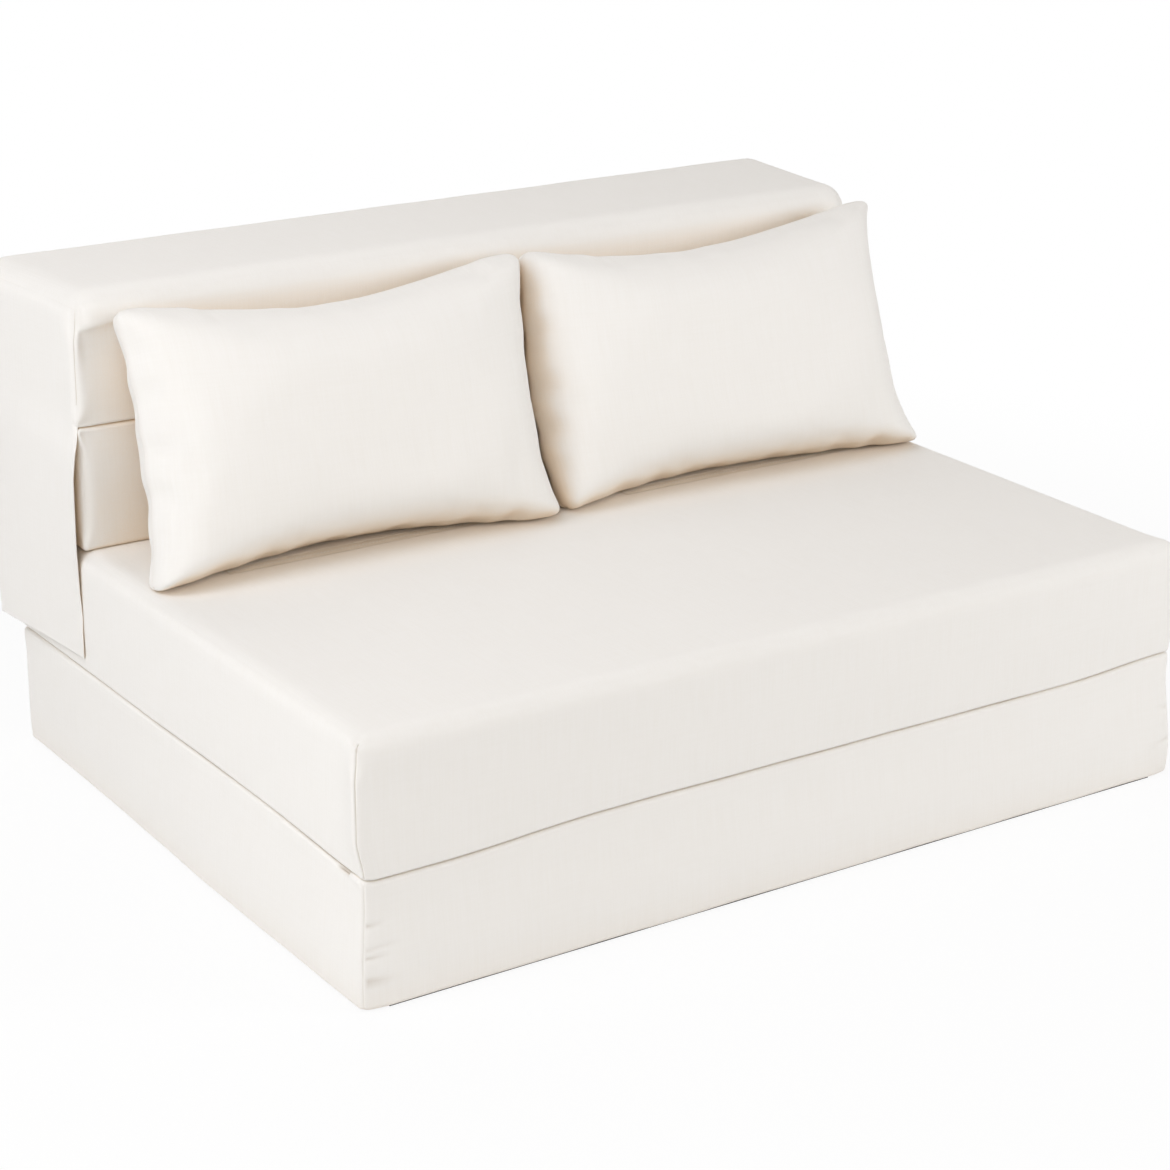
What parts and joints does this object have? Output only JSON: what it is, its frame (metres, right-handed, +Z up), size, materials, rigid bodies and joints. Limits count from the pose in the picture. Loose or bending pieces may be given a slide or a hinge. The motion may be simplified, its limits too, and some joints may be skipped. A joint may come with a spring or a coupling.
{
  "type": "folding sofa bed",
  "caption": "Armless folding sofa bed of foam slabs in cloth covers, with a cloth hood over its back and loose pillows; it folds out flat.",
  "frame": {"origin": "centre of the sofa's footprint, on the floor under the base slab", "axes": "+X along the sofa's length, +Y from the front edge to the back, +Z up"},
  "size_m": [1.214, 0.942, 0.6499],
  "materials": {
    "cover_cloth": "matte",
    "grip_cloth": "matte",
    "foam": "matte",
    "board": "matte",
    "ticking": "matte",
    "fibre": "matte",
    "zip_tape": "matte",
    "zip_metal": "satin"
  },
  "bodies": {
    "seat": {"seat_cover": "cover_cloth", "seat_foam": "foam", "seat_zip_tape": "zip_tape", "rear_hinge_strip": "cover_cloth"},
    "base": {"base_cover": "cover_cloth", "base_underside": "grip_cloth", "base_foam": "foam", "base_zip_tape": "zip_tape", "front_hinge_strip": "cover_cloth"},
    "head": {"head_cover": "cover_cloth", "head_foam": "foam", "head_zip_tape": "zip_tape"},
    "hood": {"hood_top_cover": "cover_cloth", "hood_foam": "foam", "hood_left_flap": "cover_cloth", "hood_right_flap": "cover_cloth", "hood_rear_cover": "cover_cloth", "hood_rear_board": "board", "hood_rear_pad": "foam", "hood_zip_tape": "zip_tape"},
    "left_pillow": {"left_pillow_cover": "cover_cloth", "left_pillow_ticking": "ticking", "left_pillow_filling": "fibre", "left_pillow_zip_tape": "zip_tape"},
    "right_pillow": {"right_pillow_cover": "cover_cloth", "right_pillow_ticking": "ticking", "right_pillow_filling": "fibre", "right_pillow_zip_tape": "zip_tape"},
    "base_zip_slider": {"base_zip_slider": "zip_metal"},
    "seat_zip_slider": {"seat_zip_slider": "zip_metal"},
    "head_zip_slider": {"head_zip_slider": "zip_metal"},
    "hood_zip_slider": {"hood_zip_slider": "zip_metal"},
    "left_pillow_zip_slider": {"left_pillow_zip_slider": "zip_metal"},
    "right_pillow_zip_slider": {"right_pillow_zip_slider": "zip_metal"}
  },
  "joints": [
    {"name": "base_fold", "type": "hinge", "parent": "seat", "child": "base", "pos_m": [0, -0.4715, 0.16065], "axis": [-1, 0, 0], "range_deg": [0, 180]},
    {"name": "head_fold", "type": "hinge", "parent": "seat", "child": "head", "pos_m": [0, 0.432, 0.32145], "axis": [-1, 0, 0], "range_deg": [0, 180]},
    {"name": "hood_lift", "type": "slide", "parent": "seat", "child": "hood", "axis": [0, 0.6331, 0.7741], "range_m": [0, 0.893]},
    {"name": "left_pillow_lift", "type": "slide", "parent": "seat", "child": "left_pillow", "axis": [0, -0.5, 0.866], "range_m": [0, 0.5]},
    {"name": "right_pillow_lift", "type": "slide", "parent": "seat", "child": "right_pillow", "axis": [0, -0.5, 0.866], "range_m": [0, 0.5]},
    {"name": "base_zip_slider_run", "type": "slide", "parent": "base", "child": "base_zip_slider", "axis": [1, 0, 0], "range_m": [0, 0.981]},
    {"name": "seat_zip_slider_run", "type": "slide", "parent": "seat", "child": "seat_zip_slider", "axis": [1, 0, 0], "range_m": [0, 0.981]},
    {"name": "head_zip_slider_run", "type": "slide", "parent": "head", "child": "head_zip_slider", "axis": [1, 0, 0], "range_m": [0, 0.981]},
    {"name": "hood_zip_slider_run", "type": "slide", "parent": "hood", "child": "hood_zip_slider", "axis": [-1, 0, 0], "range_m": [0, 1.081]},
    {"name": "left_pillow_zip_slider_run", "type": "hinge", "parent": "left_pillow", "child": "left_pillow_zip_slider", "pos_m": [-0.2685, -0.72038, -1.90327], "axis": [0.0132, -0.9425, 0.3338], "range_deg": [0, 9.19]},
    {"name": "right_pillow_zip_slider_run", "type": "hinge", "parent": "right_pillow", "child": "right_pillow_zip_slider", "pos_m": [0.29358, -0.76255, -1.88918], "axis": [-0.0163, -0.9365, 0.3502], "range_deg": [0, 9.19]}
  ],
  "couplings": [
    {"joint": "head_fold", "follows": "hood_lift", "rad_per_m": 3.517}
  ]
}
